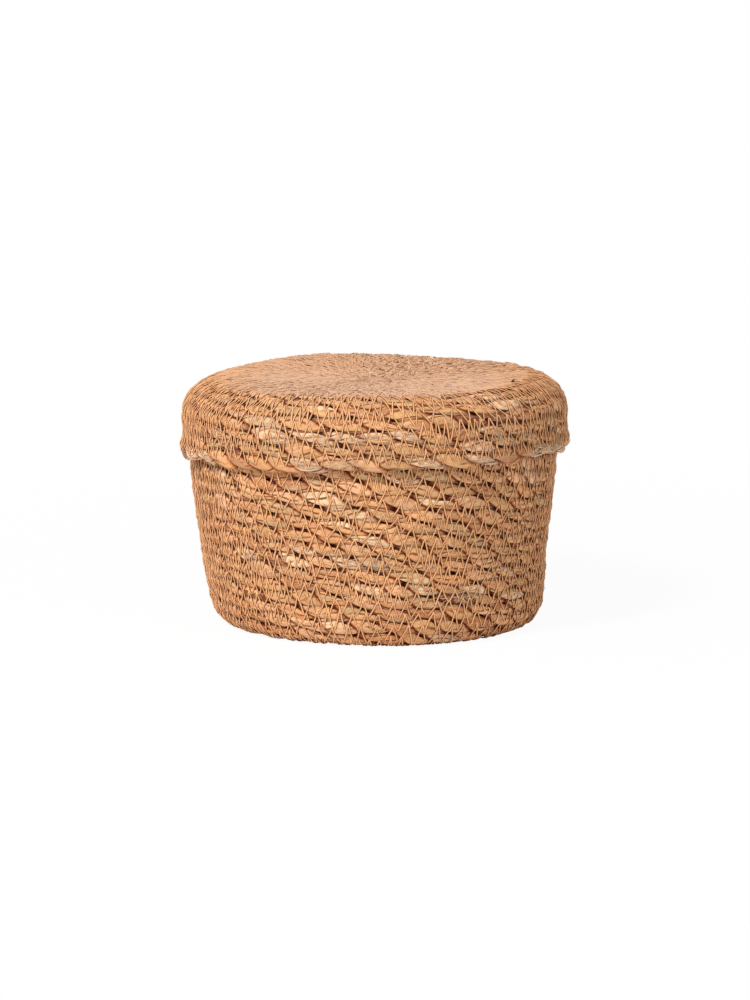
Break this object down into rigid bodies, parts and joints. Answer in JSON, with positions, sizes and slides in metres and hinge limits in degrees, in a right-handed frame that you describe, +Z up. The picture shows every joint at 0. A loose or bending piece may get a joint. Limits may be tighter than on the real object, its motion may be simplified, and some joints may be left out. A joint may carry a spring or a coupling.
{
  "type": "lidded coiled basket",
  "caption": "Round lidded keepsake basket of coiled, stitched plant-fibre rope, with a cap lid that lifts straight off.",
  "frame": {"origin": "middle of the base's underside", "axes": "+Z up along the basket's axis and the lid's lift, -Y towards the front, +X to the right seen from the front"},
  "size_m": [0.2247, 0.2246, 0.1425],
  "materials": {
    "basket_rope": "matt dry grass leaf, twisted in two strands, tan to ochre with pale and reddish-brown leaves",
    "lid_rope": "matt dry grass leaf, paler and hairy with cut fibres on the top",
    "lid_edge_rope": "matt dry grass leaf, smooth broad leaf twisted in large turns",
    "sewing_thread": "slightly glossy sewing thread, light orange tan",
    "loose_fibre": "fine dry plant fibre, pale"
  },
  "bodies": {
    "basket": {"basket_base_coil": "basket_rope", "basket_wall_coil": "basket_rope", "basket_rim_braid": "basket_rope"},
    "lid": {"lid_top_coil": "lid_rope", "lid_wall_coil": "lid_rope", "lid_rim_braid": "lid_edge_rope"}
  },
  "joints": [
    {"name": "lid_lift", "type": "slide", "parent": "basket", "child": "lid", "axis": [0, 0, 1], "range_m": [0, 0.15]}
  ]
}
